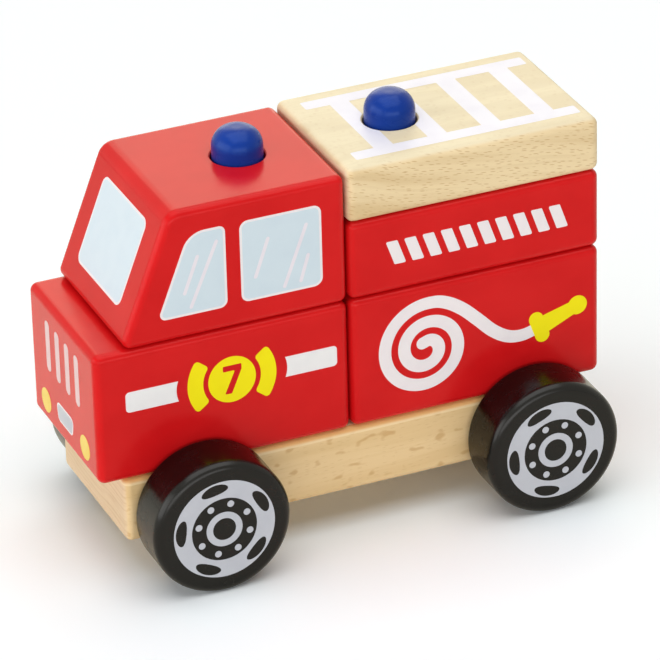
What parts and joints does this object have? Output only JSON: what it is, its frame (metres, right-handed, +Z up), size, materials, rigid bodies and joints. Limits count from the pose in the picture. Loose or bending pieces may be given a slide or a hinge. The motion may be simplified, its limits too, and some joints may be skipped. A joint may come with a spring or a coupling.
{
  "type": "toy fire engine",
  "caption": "Wooden stacking fire engine: lacquered blocks with eased edges lift off pegs on a rolling board whose turned wheels are pressed on dowel axles.",
  "frame": {"origin": "on the floor, under the middle of the toy's box", "axes": "+X forward towards the bonnet, +Y to the toy's left, +Z up"},
  "size_m": [0.1316, 0.072, 0.1045],
  "materials": {
    "beech": "clear satin lacquer on natural beech",
    "red_lacquer": "gloss red lacquer on wood",
    "blue_lacquer": "gloss blue lacquer on wood",
    "black_lacquer": "gloss black lacquer on wood",
    "white_ink": "screen-printed white ink on wood",
    "sky_ink": "screen-printed pale blue ink on wood",
    "yellow_ink": "screen-printed yellow ink on wood",
    "silver_ink": "screen-printed silver grey ink on wood"
  },
  "bodies": {
    "chassis": {"chassis_board": "beech", "front_peg": "blue_lacquer", "rear_peg": "blue_lacquer"},
    "bonnet": {"bonnet_block": "red_lacquer"},
    "cab": {"cab_block": "red_lacquer"},
    "hose": {"hose_block": "red_lacquer"},
    "stripe": {"stripe_block": "red_lacquer"},
    "ladder": {"ladder_block": "beech"},
    "front_wheelset": {"front_axle": "beech", "front_left_wheel": "black_lacquer", "front_right_wheel": "black_lacquer"},
    "rear_wheelset": {"rear_axle": "beech", "rear_left_wheel": "black_lacquer", "rear_right_wheel": "black_lacquer"}
  },
  "joints": [
    {"name": "front_axle_spin", "type": "hinge", "parent": "chassis", "child": "front_wheelset", "pos_m": [0.04, 0, 0.0175], "axis": [0, 1, 0], "continuous": true},
    {"name": "rear_axle_spin", "type": "hinge", "parent": "chassis", "child": "rear_wheelset", "pos_m": [-0.047, 0, 0.0175], "axis": [0, 1, 0], "continuous": true},
    {"name": "bonnet_lift", "type": "slide", "parent": "chassis", "child": "bonnet", "axis": [0, 0, 1], "range_m": [0, 0.078]},
    {"name": "cab_lift", "type": "slide", "parent": "bonnet", "child": "cab", "axis": [0, 0, 1], "range_m": [0, 0.044]},
    {"name": "hose_lift", "type": "slide", "parent": "chassis", "child": "hose", "axis": [0, 0, 1], "range_m": [0, 0.079]},
    {"name": "stripe_lift", "type": "slide", "parent": "hose", "child": "stripe", "axis": [0, 0, 1], "range_m": [0, 0.045]},
    {"name": "ladder_lift", "type": "slide", "parent": "stripe", "child": "ladder", "axis": [0, 0, 1], "range_m": [0, 0.024]}
  ]
}
